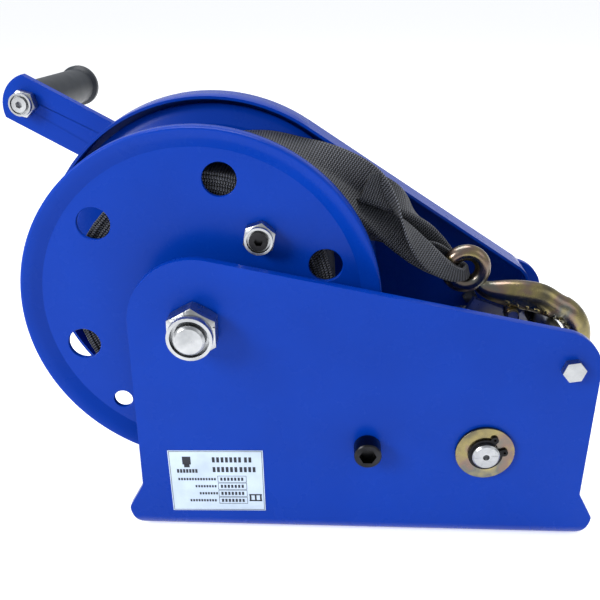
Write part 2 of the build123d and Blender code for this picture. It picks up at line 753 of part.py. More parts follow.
END_CORNER = 11.0
END_BULGE = 8.0
ARM_EYE_R = 25.0
SPINDLE_R = 6.0
HUB_R_CRANK = 20.0
with BuildPart() as crank_arm:
    with BuildSketch(arm_plane(ARM_ROOT, 0)):
        top = ARM_OFFSET + ARM_WIDTH / 2
        bottom = ARM_OFFSET - ARM_WIDTH / 2
        corner_x = ARM_LENGTH + END_CORNER
        with BuildLine():
            Line((0, top), (corner_x, top))
            ThreePointArc((corner_x, top), (corner_x + END_BULGE, ARM_OFFSET), (corner_x, bottom))
            Line((corner_x, bottom), (0, bottom))
            Line((0, bottom), (0, top))
        make_face()
        Circle(ARM_EYE_R)
        with Locations((0, ARM_OFFSET)):
            Circle(ARM_WIDTH / 2)
        with Locations((ARM_LENGTH, ARM_OFFSET)):
            Circle(SPINDLE_R, mode=Mode.SUBTRACT)
    extrude(amount=ARM_T)
    with BuildSketch(side(ARM_HUB_Y - 20, CRANK)):
        Circle(HUB_R_CRANK)
    extrude(amount=-60, mode=Mode.SUBTRACT)
save(crank_arm, "crank_arm")
save(ring(CRANK, HUB_R_CRANK, THREAD_R, *HUB_Y), "crank_hub")
save(ring(CRANK, 15.0, THREAD_R, HUB_Y[1], HUB_Y[1] + 3), "crank_washer")
save(lock_nut(far_side(HUB_Y[1] + 3, CRANK), 16, 24, THREAD_R), "crank_nut")

GRIP_GAP = 0.6
SPINDLE_OUT = 13.0
HEAD_POCKET = 7.0
head_seat = ARM_T + GRIP_GAP + GRIP_LENGTH - HEAD_POCKET
with BuildPart() as grip_spindle:
    with BuildSketch(arm_plane(ARM_END, -SPINDLE_OUT)):
        Circle(SPINDLE_R)
    extrude(amount=SPINDLE_OUT + head_seat)
    with BuildSketch(arm_plane(ARM_END, head_seat)):
        Circle(9.0)
    extrude(amount=HEAD_POCKET - 1)
    with BuildSketch(arm_plane(ARM_END, -SPINDLE_OUT)):
        RegularPolygon(hexagon(5), 6)
    extrude(amount=4, mode=Mode.SUBTRACT)
save(grip_spindle, "grip_spindle")

arm_seat = Plane(origin=ARM_END, x_dir=ARM_DIR, z_dir=ARM_OUT * -1)
save(lock_nut(arm_seat, 12, 19, SPINDLE_R, twist=12), "grip_nut")

grip_start = ARM_T + GRIP_GAP
grip_end = grip_start + GRIP_LENGTH
GRIP_BORE = SPINDLE_R + 0.08
POCKET_R = 9.3
with BuildPart() as grip:
    with BuildSketch(Plane(origin=ARM_END, x_dir=ARM_DIR, z_dir=ARM_DIR.cross(ARM_OUT))):
        with BuildLine():
            Polyline(
                (GRIP_BORE, grip_start),
                (GRIP_R - 1, grip_start),
                (GRIP_R, grip_start + 1.2),
                (GRIP_R, grip_end - 9),
                (GRIP_R + 2.6, grip_end - 5.5),
                (GRIP_R + 2.6, grip_end - 1.5),
                (GRIP_R + 1.2, grip_end),
                (POCKET_R, grip_end),
                (POCKET_R, grip_end - 7.4),
                (GRIP_BORE, grip_end - 7.4),
                close=True,
            )
        make_face()
    revolve(axis=Axis(ARM_END, ARM_OUT))
save(grip, "grip")

# ---- hook: forged eye, neck, bowl and point, with two cheeks for the latch --------------------------------
EYE = (70.0, 178.0)
EYE_R = 11.6
EYE_WIRE_R = 5.5
BOWL = (126.0, 126.5)
BOWL_R = 26.6
BOWL_HALF = 8.8
HOOK_HALF_T = 8.5
CROWN_ANGLE = 60.0
POINT_R = 5.5
TIP_R = 5.6
POINT_ANGLE = 203.0
LATCH_PIVOT = (104.0, 146.2)
LATCH_RIVET_R = 2.0
CHEEK_Y = (2.2, 4.2)


def hook_section(point, angle, across, thick):
    """One ellipse across the hook's spine, whose direction is an angle in the XZ plane."""
    turn = math.radians(angle)
    forward = Vector(math.cos(turn), 0, math.sin(turn))
    place = Plane(origin=(point[0], HOOK_Y, point[1]), x_dir=(0, 1, 0), z_dir=forward)
    with BuildSketch(place) as section:
        Ellipse(thick, across)
    return section.sketch.face()


NECK = [
    hook_section(polar(BOWL, BOWL_R, CROWN_ANGLE), 150, BOWL_HALF, HOOK_HALF_T),
    hook_section((128.5, 154.3), 168, 10.4, HOOK_HALF_T),
    hook_section((118.0, 157.8), 175, 10.7, HOOK_HALF_T),
    hook_section((108.0, 159.3), 179, 10.2, HOOK_HALF_T),
    hook_section((98.0, 160.6), 172, 9.0, 8.0),
    hook_section((90.0, 162.0), 160, 7.4, 6.8),
    hook_section(polar(EYE, EYE_R - 1.5, -43), 137, 4.6, 4.9),
]
POINT = [
    hook_section(polar(BOWL, BOWL_R, 270), 180, BOWL_HALF, HOOK_HALF_T),
    hook_section(polar(BOWL, BOWL_R - 0.6, 248), 158, 8.2, 7.6),
    hook_section(polar(BOWL, BOWL_R - 1.0, 226), 136, 6.8, 6.6),
    hook_section(polar(BOWL, BOWL_R, POINT_ANGLE), 108, POINT_R, POINT_R),
]
tip_x, tip_z = polar(BOWL, BOWL_R, POINT_ANGLE)
with BuildPart() as bowl:
    with BuildSketch(Plane(origin=(BOWL[0], HOOK_Y, BOWL[1]), x_dir=(0, 0, -1), z_dir=(-1, 0, 0))):
        with Locations((BOWL_R, 0)):
            Ellipse(BOWL_HALF, HOOK_HALF_T)
    revolve(
        axis=Axis((BOWL[0], HOOK_Y, BOWL[1]), (0, -1, 0)), revolution_arc=90 + CROWN_ANGLE
    )
with BuildPart() as neck:
    loft(NECK)
with BuildPart() as point:
    loft(POINT)
with BuildPart() as hook:
    add(bowl.part)
    add(neck.part)
    add(point.part)
    with Locations((tip_x, HOOK_Y, tip_z)):
        Sphere(TIP_R)
    with BuildSketch(Plane(origin=(EYE[0], HOOK_Y, EYE[1]), x_dir=(1, 0, 0), z_dir=(0, 0, 1))):
        with Locations((EYE_R, 0)):
            Circle(EYE_WIRE_R)
    revolve(axis=shaft_axis(EYE))
    with BuildSketch(side(HOOK_Y - CHEEK_Y[1], LATCH_PIVOT)):
        Circle(4.5)
        with Locations((0, 4.5)):
            Rectangle(9, 9)
    extrude(amount=-2 * CHEEK_Y[1])
    with BuildSketch(side(HOOK_Y - CHEEK_Y[0], LATCH_PIVOT)):
        Circle(5.6)
    extrude(amount=-2 * CHEEK_Y[0], mode=Mode.SUBTRACT)
    with BuildSketch(side(HOOK_Y - CHEEK_Y[1], LATCH_PIVOT)):
        Circle(LATCH_RIVET_R)
    extrude(amount=-2 * CHEEK_Y[1], mode=Mode.SUBTRACT)
save(hook, "hook")

LATCH_T = 1.6
LATCH_Y = CHEEK_Y[1] + 0.25
LATCH_LENGTH = 27.5
LATCH_DIR = Vector(6.5, 0, -27.2)


def latch_plane(y):
    """A plane facing the near side at a Y station, local x along the latch, local y inwards."""
    return Plane(
        origin=(LATCH_PIVOT[0], y, LATCH_PIVOT[1]), x_dir=LATCH_DIR, z_dir=(0, -1, 0)
    )


LATCH_OUTLINE = [(0, 4.4), (LATCH_LENGTH, 1.2), (LATCH_LENGTH, -1.2), (8, -4.4), (0, -4.4)]
LATCH_INSIDE = [
    (0, 8),
    (LATCH_LENGTH + 3, 8),
    (LATCH_LENGTH + 3, 1.3),
    (LATCH_LENGTH, 0.6),
    (8, -2.6),
    (0, -4.2),
]
with BuildPart() as hook_latch:
    with BuildSketch(latch_plane(HOOK_Y - LATCH_Y - LATCH_T)):
        with BuildLine():
            Polyline(*LATCH_OUTLINE, close=True)
        make_face()
        Circle(4.4)
        Circle(LATCH_RIVET_R + RUNNING, mode=Mode.SUBTRACT)
    extrude(amount=-2 * (LATCH_Y + LATCH_T))
    with BuildSketch(latch_plane(HOOK_Y - LATCH_Y)):
        with BuildLine():
            Polyline(*LATCH_INSIDE, close=True)
        make_face()
        Circle(7.6)
    extrude(amount=-2 * LATCH_Y, mode=Mode.SUBTRACT)
save(hook_latch, "hook_latch")

with BuildPart() as latch_rivet:
    with BuildSketch(side(HOOK_Y - 7.6, LATCH_PIVOT)):
        Circle(3.4)
    extrude(amount=-1.4)
    with BuildSketch(side(HOOK_Y + 6.2, LATCH_PIVOT)):
        Circle(3.4)
    extrude(amount=-1.4)
    with BuildSketch(side(HOOK_Y - 6.2, LATCH_PIVOT)):
        Circle(LATCH_RIVET_R)
    extrude(amount=-12.4)
save(latch_rivet, "latch_rivet")

with BuildPart() as latch_spring:
    with BuildLine() as turns:
        spring_start = (LATCH_PIVOT[0], HOOK_Y - 1.5, LATCH_PIVOT[1])
        Helix(1.2, 3.0, 2.9, center=spring_start, direction=(0, 1, 0))
    with BuildSketch(Plane(origin=turns.line @ 0, z_dir=turns.line % 0)):
        Circle(0.45)
    sweep(is_frenet=True)
save(latch_spring, "latch_spring")

# ---- strap from the drum to the hook: a bunched tail with a loop through the eye -------------------------
TAIL_TOP = [
    polar(DRUM, 93.4, 104),
    (-106.0, 257.4),
    (-71.0, 263.5),
    (-43.0, 248.0),
    (-16.6, 229.6),
    (10.0, 213.0),
    (34.0, 199.5),
    (48.0, 192.5),
]
TAIL_UNDER = [
    (44.5, 171.0),
    (28.0, 183.0),
    (4.0, 204.0),
    (-20.0, 224.5),
    (-46.0, 243.5),
    (-71.0, 257.6),
    (-104.0, 254.2),
    polar(DRUM, 91.0, 104),
]
LOOP_R = 3.8
STRAND_OUTLINE = [
    (-14.0, 8.5),
    (0.0, 4.6),
    (3.5, 0.0),
    (0.0, -4.6),
    (-14.0, -9.5),
    (-28.0, -4.0),
    (-28.0, 6.0),
]
with BuildPart() as strap_tail:
    with BuildSketch(side(-40)):
        with BuildLine():
            Spline(*TAIL_TOP)
            Line(TAIL_TOP[-1], TAIL_UNDER[0])
            Spline(*TAIL_UNDER)
            Line(TAIL_UNDER[-1], TAIL_TOP[0])
        make_face()
    extrude(amount=-90)
    with BuildSketch(Plane.XY):
        with BuildLine():
            Polyline(
                (-140, STRAP_Y - 30.5),
                (-40, STRAP_Y - 30.5),
                (8, STRAP_Y - 24),
                (50, HOOK_Y - 13),
                (80, HOOK_Y - 13),
                (80, HOOK_Y + 13),
                (50, HOOK_Y + 13),
                (8, STRAP_Y + 24),
                (-40, STRAP_Y + 30.5),
                (-140, STRAP_Y + 30.5),
                close=True,
            )
        make_face()
    extrude(amount=300, mode=Mode.INTERSECT)
    for strand in (HOOK_Y - 12.6, HOOK_Y + 6.0):
        with BuildSketch(side(strand, EYE)):
            with BuildLine():
                Polyline(*STRAND_OUTLINE, close=True)
            make_face()
        extrude(amount=-6.6)
    with BuildSketch(side(HOOK_Y - 12.6, EYE)):
        with Locations((-0.6, 0)):
            Circle(LOOP_R)
    extrude(amount=-25.2)
save(strap_tail, "strap_tail")

# ---- rating plate on the near side, blank ----------------------------------------------------------------
LABEL = (-97.9, 41.9)
with BuildPart() as label_plate:
    with BuildSketch(side(-OUTER - 0.4, LABEL)):
        Rectangle(65, 50, rotation=1.4)
    extrude(amount=-0.4)
save(label_plate, "label_plate")
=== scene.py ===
import json
import math
import bmesh
import bpy
from mathutils import Matrix, Vector


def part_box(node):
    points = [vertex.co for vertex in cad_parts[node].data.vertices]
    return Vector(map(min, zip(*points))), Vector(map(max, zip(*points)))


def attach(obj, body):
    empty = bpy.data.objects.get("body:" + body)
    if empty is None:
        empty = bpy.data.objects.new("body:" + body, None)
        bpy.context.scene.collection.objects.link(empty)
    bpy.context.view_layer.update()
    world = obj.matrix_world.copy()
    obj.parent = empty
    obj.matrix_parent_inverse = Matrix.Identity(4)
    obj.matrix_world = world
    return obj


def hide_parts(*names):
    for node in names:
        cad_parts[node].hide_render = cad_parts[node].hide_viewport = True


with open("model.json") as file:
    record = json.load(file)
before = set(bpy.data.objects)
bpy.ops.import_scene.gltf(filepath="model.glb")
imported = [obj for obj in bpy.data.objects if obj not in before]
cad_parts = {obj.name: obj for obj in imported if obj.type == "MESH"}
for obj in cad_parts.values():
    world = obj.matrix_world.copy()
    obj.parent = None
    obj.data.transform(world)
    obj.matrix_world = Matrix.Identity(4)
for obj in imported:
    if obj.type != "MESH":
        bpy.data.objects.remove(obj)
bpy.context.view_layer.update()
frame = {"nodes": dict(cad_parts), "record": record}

NODES = frame["nodes"]
MM = 0.001


# ---- camera, floor and light -----------------------------------------------------------------
CAMERA_AT = Vector((-0.0248, -0.4959, 0.3716))
CAMERA_PITCH = math.radians(23.965)
CAMERA_YAW = math.radians(2.116)
LENS = 46.19

camera = bpy.data.objects.new("camera", bpy.data.cameras.new("camera"))
bpy.context.scene.collection.objects.link(camera)
camera.data.lens = LENS
camera.data.sensor_width = 36.0
camera.data.clip_start = 0.01
camera.location = CAMERA_AT
camera.rotation_euler = (math.pi / 2 - CAMERA_PITCH, 0.0, CAMERA_YAW)
bpy.context.scene.camera = camera
bpy.context.scene.view_settings.view_transform = "Standard"


def node_material(name):
    """An empty node material and its node tree's main shader."""
    material = bpy.data.materials.new(name)
    material.use_nodes = True
    return material, material.node_tree, material.node_tree.nodes["Principled BSDF"]


def add_node(tree, kind, **values):
    """A shader node with its properties and unlinked inputs set by name."""
    node = tree.nodes.new(kind)
    for key, value in values.items():
        if hasattr(node, key):
            setattr(node, key, value)
        else:
            node.inputs[key.replace("_", " ")].default_value = value
    return node


def noise(tree, scale, detail, roughness, vector):
    node = add_node(tree, "ShaderNodeTexNoise", Scale=scale, Detail=detail, Roughness=roughness)
    tree.links.new(vector, node.inputs["Vector"])
    return node.outputs["Fac"]


def ramp(tree, factor, stops):
    """A colour ramp: stops are (position, colour)."""
    node = tree.nodes.new("ShaderNodeValToRGB")
    while len(node.color_ramp.elements) < len(stops):
        node.color_ramp.elements.new(0.5)
    for element, (position, colour) in zip(node.color_ramp.elements, stops):
        element.position = position
        element.color = (*colour, 1.0)
    tree.links.new(factor, node.inputs["Fac"])
    return node.outputs["Color"]


def spread(tree, factor, low, high):
    """Maps a 0 to 1 factor to low..high."""
    node = add_node(tree, "ShaderNodeMapRange")
    node.inputs["To Min"].default_value = low
    node.inputs["To Max"].default_value = high
    tree.links.new(factor, node.inputs["Value"])
    return node.outputs["Result"]


def bump(tree, shader, height, strength, distance):
    node = add_node(tree, "ShaderNodeBump", Strength=strength, Distance=distance)
    tree.links.new(height, node.inputs["Height"])
    tree.links.new(node.outputs["Normal"], shader.inputs["Normal"])


def object_space(tree):
    return tree.nodes.new("ShaderNodeTexCoord").outputs["Object"]


# ---- materials --------------------------------------------------------------------------------
def blue_paint():
    """Powder coat: faint orange peel, a slight drift in tone and uneven gloss."""
    material, tree, shader = node_material("blue_paint")
    place = object_space(tree)
    tone = noise(tree, 9.0, 4.0, 0.6, place)
    colour = ramp(tree, tone, [(0.3, (0.0002, 0.030, 0.29)), (0.7, (0.0004, 0.036, 0.34))])
    tree.links.new(colour, shader.inputs["Base Color"])
    smear = noise(tree, 30.0, 5.0, 0.6, place)
    tree.links.new(spread(tree, smear, 0.20, 0.34), shader.inputs["Roughness"])
    peel = noise(tree, 420.0, 2.0, 0.5, place)
    bump(tree, shader, peel, 0.10, 0.0004)
    shader.inputs["Specular IOR Level"].default_value = 0.11
    return material


def metal(name, colours, roughness, scale=60.0, grain=0.08):
    """Plated steel: cloudy colour between two tones, uneven roughness and fine grain."""
    material, tree, shader = node_material(name)
    place = object_space(tree)
    tree.links.new(
        ramp(tree, noise(tree, scale, 5.0, 0.6, place), [(0.3, colours[0]), (0.7, colours[1])]),
        shader.inputs["Base Color"],
    )
    tree.links.new(
        spread(tree, noise(tree, scale * 3, 4.0, 0.6, place), roughness[0], roughness[1]),
        shader.inputs["Roughness"],
    )
    bump(tree, shader, noise(tree, scale * 12, 3.0, 0.6, place), grain, 0.0003)
    shader.inputs["Metallic"].default_value = 1.0
    return material


def yellow_zinc():
    """Yellow passivated zinc with its rainbow of olive, brown and violet."""
    material, tree, shader = node_material("yellow_zinc")
    place = object_space(tree)
    clouds = noise(tree, 42.0, 3.0, 0.55, place)
    colour = ramp(
        tree,
        clouds,
        [
            (0.28, (0.13, 0.115, 0.075)),
            (0.42, (0.27, 0.225, 0.10)),
            (0.52, (0.21, 0.15, 0.12)),
            (0.62, (0.15, 0.15, 0.13)),
            (0.74, (0.33, 0.28, 0.14)),
        ],
    )
    tree.links.new(colour, shader.inputs["Base Color"])
    tree.links.new(spread(tree, noise(tree, 160.0, 4.0, 0.6, place), 0.16, 0.34), shader.inputs["Roughness"])
    bump(tree, shader, noise(tree, 230.0, 4.0, 0.6, place), 0.16, 0.0006)
    shader.inputs["Metallic"].default_value = 1.0
    return material


def plastic(name, colour, rough, grain_scale=500.0, strength=0.1):
    """Matt to satin surface in one colour: soft clouds, uneven gloss and fine grain."""
    material, tree, shader = node_material(name)
    place = object_space(tree)
    lighter = tuple(min(1.0, c * 1.35 + 0.002) for c in colour)
    tree.links.new(
        ramp(tree, noise(tree, 35.0, 4.0, 0.6, place), [(0.3, colour), (0.7, lighter)]),
        shader.inputs["Base Color"],
    )
    cloud = noise(tree, 90.0, 3.0, 0.5, place)
    tree.links.new(spread(tree, cloud, rough[0], rough[1]), shader.inputs["Roughness"])
    bump(tree, shader, noise(tree, grain_scale, 2.0, 0.5, place), strength, 0.0003)
    shader.inputs["Specular IOR Level"].default_value = 0.2
    return material


RIB = 0.0017
YARN = 0.0011


def webbing():
    """Woven strap: ribs along its length and yarns across its width, from its UVs in metres; its colour has
    painted highlight on the rib tops and painted shade between them.
    """
    material, tree, shader = node_material("webbing")
    uv = tree.nodes.new("ShaderNodeTexCoord").outputs["UV"]
    split = tree.nodes.new("ShaderNodeSeparateXYZ")
    tree.links.new(uv, split.inputs[0])

    def wave(source, period, offset=None):
        scaled = add_node(tree, "ShaderNodeMath", operation="MULTIPLY")
        tree.links.new(source, scaled.inputs[0])
        scaled.inputs[1].default_value = 2 * math.pi / period
        out = scaled.outputs[0]
        if offset is not None:
            joined = add_node(tree, "ShaderNodeMath", operation="ADD")
            tree.links.new(out, joined.inputs[0])
            tree.links.new(offset, joined.inputs[1])
            out = joined.outputs[0]
        sine = add_node(tree, "ShaderNodeMath", operation="SINE")
        tree.links.new(out, sine.inputs[0])
        return spread_sine(tree, sine.outputs[0])

    across = add_node(tree, "ShaderNodeMath", operation="MULTIPLY")
    tree.links.new(split.outputs["Y"], across.inputs[0])
    across.inputs[1].default_value = math.pi / YARN
    step = add_node(tree, "ShaderNodeMath", operation="SINE")
    tree.links.new(across.outputs[0], step.inputs[0])
    shift = add_node(tree, "ShaderNodeMath", operation="MULTIPLY")
    tree.links.new(step.outputs[0], shift.inputs[0])
    shift.inputs[1].default_value = 0.9
    ribs = wave(split.outputs["X"], RIB, shift.outputs[0])
    yarns = wave(split.outputs["Y"], YARN)
    weave_height_and_highlight = add_node(tree, "ShaderNodeMath", operation="MULTIPLY")
    tree.links.new(ribs, weave_height_and_highlight.inputs[0])
    blend = add_node(tree, "ShaderNodeMath", operation="MULTIPLY_ADD")
    tree.links.new(yarns, blend.inputs[0])
    blend.inputs[1].default_value = 0.35
    blend.inputs[2].default_value = 0.65
    tree.links.new(blend.outputs[0], weave_height_and_highlight.inputs[1])
    # painted highlight and shade: the weave relief turns near black in the grooves and pale grey on the rib
    # tops
    colour = ramp(
        tree,
        weave_height_and_highlight.outputs[0],
        [(0.05, (0.003, 0.003, 0.004)), (0.5, (0.020, 0.022, 0.028)), (0.95, (0.15, 0.16, 0.19))],
    )
    tree.links.new(colour, shader.inputs["Base Color"])
    shader.inputs["Roughness"].default_value = 0.48
    shader.inputs["Specular IOR Level"].default_value = 0.3
    shader.inputs["Sheen Weight"].default_value = 0.12
    shader.inputs["Sheen Roughness"].default_value = 0.4
    bump(tree, shader, weave_height_and_highlight.outputs[0], 0.9, 0.0007)
    return material


def spread_sine(tree, value):
    """Maps a sine's -1..1 to 0..1."""
    node = add_node(tree, "ShaderNodeMapRange")
    node.inputs["From Min"].default_value = -1.0
    tree.links.new(value, node.inputs["Value"])
    return node.outputs["Result"]


BLUE = blue_paint()
ZINC = metal("zinc", ((0.30, 0.31, 0.32), (0.52, 0.53, 0.54)), (0.20, 0.40))
STEEL = metal("plain_steel", ((0.22, 0.22, 0.23), (0.34, 0.34, 0.35)), (0.28, 0.5))
BLACK_OXIDE = metal("black_oxide", ((0.012, 0.012, 0.013), (0.035, 0.035, 0.038)), (0.25, 0.4))
BRONZE = metal("bronze", ((0.42, 0.27, 0.10), (0.56, 0.38, 0.16)), (0.3, 0.5))
YELLOW = yellow_zinc()
GRIP = plastic("grip_rubber", (0.018, 0.021, 0.026), (0.30, 0.46))
FRICTION = plastic("friction_lining", (0.10, 0.055, 0.03), (0.7, 0.9), 900.0, 0.5)
LABEL = plastic("label_film", (0.42, 0.50, 0.60), (0.25, 0.4), 200.0, 0.03)
INK = plastic("label_ink", (0.02, 0.022, 0.03), (0.4, 0.5), 200.0, 0.03)
WEBBING = webbing()

LOOKS = {
    "blue_paint": BLUE,
    "zinc_bright": ZINC,
    "zinc_yellow": YELLOW,
    "steel_dark": BLACK_OXIDE,
    "steel_plain": STEEL,
    "webbing_black": WEBBING,
    "grip_black": GRIP,
    "friction": FRICTION,
    "bronze": BRONZE,
    "label_white": LABEL,
}


def paint(obj, material):
    obj.data.materials.clear()
    obj.data.materials.append(material)


slot_of = {row["node"]: row["material_slot"] for row in frame["record"]["subparts"]}
for name, obj in NODES.items():
    paint(obj, LOOKS[slot_of[name]])


# ---- softened edges on pressed and machined parts ------------------------------------------------
EDGES = {
    "frame": 1.0,
    "gear_guard": 0.6,
    "near_flange": 0.5,
    "far_flange": 0.5,
    "crank_arm": 0.8,
    "pawl": 0.4,
    "shaft_flange": 0.5,
    "ratchet_wheel": 0.25,
    "shaft_washer": 0.4,
    "tie_bolt": 0.35,
    "guard_screws": 0.3,
    "axle_nut": 0.35,
    "strap_anchor_nut": 0.25,
    "grip_nut": 0.3,
    "lay_screw": 0.4,
    "drum_axle": 0.4,
    "crank_hub": 0.8,
    "hook_latch": 0.3,
}
for name, width in EDGES.items():
    weld = NODES[name].modifiers.new("weld", "WELD")
    weld.merge_threshold = 0.000001
    bevel = NODES[name].modifiers.new("bevel", "BEVEL")
    bevel.width = width * MM
    bevel.segments = 3
    bevel.limit_method = "ANGLE"
    bevel.angle_limit = math.radians(32)
    bevel.harden_normals = True


# ---- floor and lights -----------------------------------------------------------------------------
def area_light(name, place, target, size, power):
    lamp = bpy.data.lights.new(name, "AREA")
    lamp.shape = "RECTANGLE"
    lamp.size, lamp.size_y = size
    lamp.energy = power
    obj = bpy.data.objects.new(name, lamp)
    obj.location = place
    obj.rotation_euler = (Vector(target) - Vector(place)).to_track_quat("-Z", "Y").to_euler()
    bpy.context.scene.collection.objects.link(obj)


floor_mesh = bpy.data.meshes.new("floor")
FLOOR_HALF = 40
floor_corners = [
    (-FLOOR_HALF, -FLOOR_HALF, 0),
    (FLOOR_HALF, -FLOOR_HALF, 0),
    (FLOOR_HALF, FLOOR_HALF, 0),
    (-FLOOR_HALF, FLOOR_HALF, 0),
]
floor_mesh.from_pydata(floor_corners, [], [(0, 1, 2, 3)])
floor = bpy.data.objects.new("floor", floor_mesh)
bpy.context.scene.collection.objects.link(floor)
floor_material, _, floor_shader = node_material("floor")
floor_shader.inputs["Base Color"].default_value = (0.93, 0.93, 0.93, 1)
floor_shader.inputs["Roughness"].default_value = 0.9
floor_shader.inputs["Emission Color"].default_value = (1.0, 1.0, 1.0, 1)
floor_shader.inputs["Emission Strength"].default_value = 0.42
paint(floor, floor_material)

world = bpy.data.worlds.new("studio")
bpy.context.scene.world = world
world.use_nodes = True
world.node_tree.nodes["Background"].inputs["Color"].default_value = (0.93, 0.96, 1.0, 1)
world.node_tree.nodes["Background"].inputs["Strength"].default_value = 0.62

CENTRE = (0.0, 0.0, 0.13)
area_light("key", (-1.3, -1.0, 1.0), CENTRE, (0.7, 0.7), 26)
area_light("top", (-0.2, 0.5, 1.7), CENTRE, (1.4, 0.8), 22)
area_light("fill", (1.3, -0.6, 1.0), CENTRE, (0.8, 0.8), 2)


# ---- wound strap -----------------------------------------------------------------------------------
def ribbon(name, rows, uv_rows, material):
    """A mesh from rows of cross-section points, each row a closed loop, with UVs in metres."""
    mesh = bpy.data.meshes.new(name)
    count = len(rows[0])
    vertices = [point for row in rows for point in row]
    faces = []
    for r in range(len(rows) - 1):
        for c in range(count):
            d = (c + 1) % count
            faces.append((r * count + c, r * count + d, (r + 1) * count + d, (r + 1) * count + c))
    faces.append(tuple(reversed(range(count))))
    faces.append(tuple((len(rows) - 1) * count + c for c in range(count)))
    mesh.from_pydata(vertices, [], faces)
    flat_uv = [uv for row in uv_rows for uv in row]
    layer = mesh.uv_layers.new(name="UVMap")
    for loop in mesh.loops:
        layer.data[loop.index].uv = flat_uv[loop.vertex_index]
    mesh.polygons.foreach_set("use_smooth", [True] * len(mesh.polygons))
    obj = bpy.data.objects.new(name, mesh)
    bpy.context.scene.collection.objects.link(obj)
    paint(obj, material)
    return obj


roll_low, roll_high = (Vector(corner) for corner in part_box("strap_roll"))
hub_low, hub_high = (Vector(corner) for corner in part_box("drum_hub"))
DRUM_X = (roll_low.x + roll_high.x) / 2
DRUM_Z = (roll_low.z + roll_high.z) / 2
ROLL_R = (roll_high.x - roll_low.x) / 2
HUB_R = (hub_high.x - hub_low.x) / 2
STRAP_T = 0.0021
STEPS_PER_TURN = 60
TURN_PITCH = 1.06
WOUND_T = STRAP_T * 0.94
WOUND_SPREAD = 0.985
SELVEDGE = 0.0008
END_GAP = 0.0006
START_ANGLE = math.radians(100)


def roll():
    """The strap as one spiral band, its layers shifting a little from side to side."""
    turns = int((ROLL_R - HUB_R) / (STRAP_T * TURN_PITCH)) - 1
    steps = turns * STEPS_PER_TURN
    middle = (roll_low.y + roll_high.y) / 2
    half = (roll_high.y - roll_low.y) / 2 - SELVEDGE
    inset = half - SELVEDGE
    outline = (
        (-half, 0.25),
        (-half, 0.75),
        (-inset, 1.0),
        (inset, 1.0),
        (half, 0.75),
        (half, 0.25),
        (inset, 0.0),
        (-inset, 0.0),
    )
    rows, uvs, length = [], [], 0.0
    for step in range(steps + 1):
        share = step / steps
        angle = 2 * math.pi * step / STEPS_PER_TURN + START_ANGLE
        radius = HUB_R + END_GAP + (ROLL_R - HUB_R - STRAP_T - 2 * END_GAP) * share
        wander = 0.0006 * math.sin(angle * 0.37) + 0.0004 * math.sin(angle * 1.31)
        row, uv = [], []
        for y, out in outline:
            r = radius + WOUND_T * out
            x_at = DRUM_X + r * math.cos(angle)
            z_at = DRUM_Z + r * math.sin(angle)
            row.append((x_at, middle + y * WOUND_SPREAD + wander, z_at))
            uv.append((length, y + out * STRAP_T))
        rows.append(row)
        uvs.append(uv)
        length += radius * 2 * math.pi / STEPS_PER_TURN
    obj = ribbon("strap_winding", rows, uvs, WEBBING)
    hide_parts("strap_roll")
    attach(obj, "drum")


roll()

# ---- strap between the drum and the hook's eye ---------------------------------------------------
STRAP_W = 0.064
SHEET_T = 0.0015
FOLD_LENGTH = 0.005
RIPPLE = 0.10
RIPPLES_ALONG = 95
RIPPLES_ACROSS = 210
eye_low, eye_high = (Vector(corner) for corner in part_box("hook"))
EYE_AT = Vector((0.070, (eye_low.y + eye_high.y) / 2, 0.178))

# each station: point from the eye in mm, width direction, fold in degrees, squash across
STATIONS = [
    ((-206.0, 6.7, 68.0), (0, 1, 0), 0, 1.0),
    ((-176.0, 6.7, 81.0), (0, 1, 0), 0, 1.0),
    ((-141.0, 6.7, 82.5), (0, 1, 0), 6, 1.0),
    ((-113.0, 6.0, 70.0), (0, 1, 0.1), 26, 1.0),
    ((-87.0, 3.0, 53.0), (0, 1, 0.35), 62, 1.0),
    ((-62.0, -2.0, 35.5), (0, 0.85, 0.6), 108, 1.0),
    ((-42.0, -6.5, 21.0), (0.2, 0.55, 0.8), 140, 0.95),
    ((-26.0, -9.6, 9.5), (0.35, 0.25, 0.9), 158, 0.8),
    ((-14.0, -10.4, 2.4), (0.35, 0.05, 0.95), 165, 0.55),
    ((-5.2, -8.0, -0.4), (0.15, 0, 1), 168, 0.36),
    ((-1.4, -2.0, -0.6), (0, 0, 1), 170, 0.32),
    ((-1.4, 3.0, -0.6), (0, 0, 1), 170, 0.32),
    ((-5.2, 8.6, 0.4), (0.15, 0, 1), 168, 0.36),
    ((-13.0, 11.0, 6.0), (0.35, -0.1, 0.95), 164, 0.6),
    ((-26.0, 10.4, 17.5), (0.4, -0.3, 0.85), 150, 0.85),
    ((-42.0, 9.0, 28.5), (0.3, -0.6, 0.6), 130, 0.95),
    ((-60.0, 8.0, 39.5), (0, -0.9, 0.3), 112, 1.0),
    ((-76.0, 7.0, 47.0), (0, -1, 0.1), 100, 1.0),
]
SPAN_STEPS = 9
SECTION_STEPS = 34


def catmull(values, share):
    """A smooth point through a list of vectors; share runs over the whole list."""
    place = min(share, len(values) - 1.000001)
    index = int(place)
    t = place - index
    before = values[max(index - 1, 0)]
    start, end = values[index], values[index + 1]
    after = values[min(index + 2, len(values) - 1)]
    return 0.5 * (
        2 * start
        + (end - before) * t
        + (2 * before - 5 * start + 4 * end - after) * t * t
        + (3 * start - before - 3 * end + after) * t * t * t
    )


def eased(value):
    """A smooth step from 0 to 1."""
    value = min(max(value, 0.0), 1.0)
    return value * value * (3 - 2 * value)


